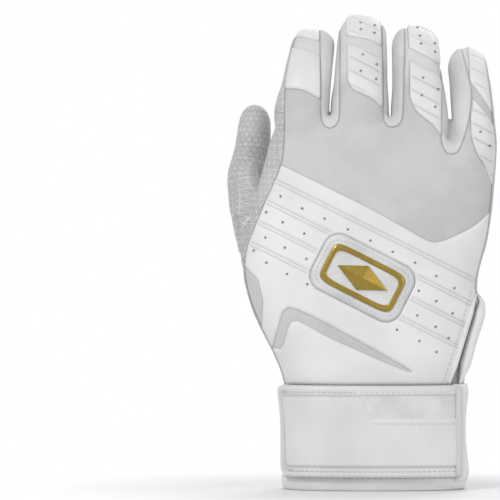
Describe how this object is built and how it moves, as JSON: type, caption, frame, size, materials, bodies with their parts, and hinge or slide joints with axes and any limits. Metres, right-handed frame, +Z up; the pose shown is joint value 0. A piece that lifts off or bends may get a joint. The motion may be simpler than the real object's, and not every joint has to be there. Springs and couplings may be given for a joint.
{
  "type": "batting glove",
  "caption": "Right-hand batting glove with an embossed palm, padded back, stretch knuckle panel and a wrap-around wrist strap that peels open.",
  "frame": {"origin": "middle of the glove's box, on the surface that the hem stands on", "axes": "+Z up from the hem to the fingertips, -Y out of the back of the hand, +Y out of the palm, -X to the thumb side"},
  "size_m": [0.1202, 0.0608, 0.2138],
  "materials": {
    "palm_leather": "pale grey leather, embossed and perforated, satin",
    "white_synthetic": "smooth white synthetic leather, low sheen",
    "stretch_fabric": "light grey stretch knit over thin foam, matt",
    "knit_elastic": "light grey ribbed elastic knit, matt",
    "hook_loop": "white hook and loop tape",
    "badge_rubber": "pale moulded rubber, satin",
    "badge_gold": "polished gold colour"
  },
  "bodies": {
    "hand": {"palm_leather": "palm_leather", "thenar_patch": "palm_leather", "heel_panel": "palm_leather", "knuckle_panel": "stretch_fabric", "back_panel": "white_synthetic", "flex_inlay": "stretch_fabric", "side_inlay": "stretch_fabric", "badge_base": "badge_rubber", "badge_plate": "badge_gold", "vent_gusset": "knit_elastic", "vent_binding": "white_synthetic", "hem_binding": "white_synthetic", "wristband_elastic": "knit_elastic", "cuff_underlap": "white_synthetic", "strap_gusset": "knit_elastic", "loop_patch": "hook_loop", "thumb_base": "palm_leather", "web_index_middle": "stretch_fabric", "web_middle_ring": "stretch_fabric", "web_ring_little": "stretch_fabric"},
    "strap": {"strap_backing": "white_synthetic", "strap_face": "white_synthetic", "strap_window": "badge_rubber", "hook_patch": "hook_loop"},
    "index": {"index_front": "palm_leather", "index_back": "stretch_fabric", "index_tip_cap": "white_synthetic", "index_knuckle_pad": "white_synthetic", "index_ulnar_fourchette": "stretch_fabric"},
    "middle": {"middle_front": "palm_leather", "middle_back": "stretch_fabric", "middle_tip_cap": "white_synthetic", "middle_knuckle_pad": "white_synthetic", "middle_radial_fourchette": "stretch_fabric", "middle_ulnar_fourchette": "stretch_fabric"},
    "ring": {"ring_front": "palm_leather", "ring_back": "stretch_fabric", "ring_tip_cap": "white_synthetic", "ring_knuckle_pad": "white_synthetic", "ring_radial_fourchette": "stretch_fabric", "ring_ulnar_fourchette": "stretch_fabric"},
    "little": {"little_front": "palm_leather", "little_back": "stretch_fabric", "little_tip_cap": "white_synthetic", "little_knuckle_pad": "white_synthetic", "little_radial_fourchette": "stretch_fabric"},
    "thumb": {"thumb_front": "palm_leather", "thumb_back": "palm_leather", "thumb_tip": "palm_leather"}
  },
  "joints": [
    {"name": "strap_open", "type": "hinge", "parent": "hand", "child": "strap", "pos_m": [0.04346, -0.02189, 0.0265], "axis": [0, 0, 1], "range_deg": [0, 135]},
    {"name": "index_flex", "type": "hinge", "parent": "hand", "child": "index", "pos_m": [-0.02686, 0.01226, 0.167], "axis": [-0.9833, 0, 0.1822], "range_deg": [0, 60], "stiffness_Nm_per_rad": 0.05},
    {"name": "middle_flex", "type": "hinge", "parent": "hand", "child": "middle", "pos_m": [-0.00036, 0.01226, 0.1675], "axis": [-0.999, 0, 0.0436], "range_deg": [0, 60], "stiffness_Nm_per_rad": 0.05},
    {"name": "ring_flex", "type": "hinge", "parent": "hand", "child": "ring", "pos_m": [0.02664, 0.01226, 0.1655], "axis": [-0.9994, 0, -0.0349], "range_deg": [0, 60], "stiffness_Nm_per_rad": 0.05},
    {"name": "little_flex", "type": "hinge", "parent": "hand", "child": "little", "pos_m": [0.05094, 0.01226, 0.155], "axis": [-0.9945, 0, -0.1045], "range_deg": [0, 60], "stiffness_Nm_per_rad": 0.05},
    {"name": "thumb_flex", "type": "hinge", "parent": "hand", "child": "thumb", "pos_m": [-0.05092, 0.02677, 0.13005], "axis": [-0.9925, -0.0339, -0.1175], "range_deg": [0, 40], "stiffness_Nm_per_rad": 0.05}
  ]
}
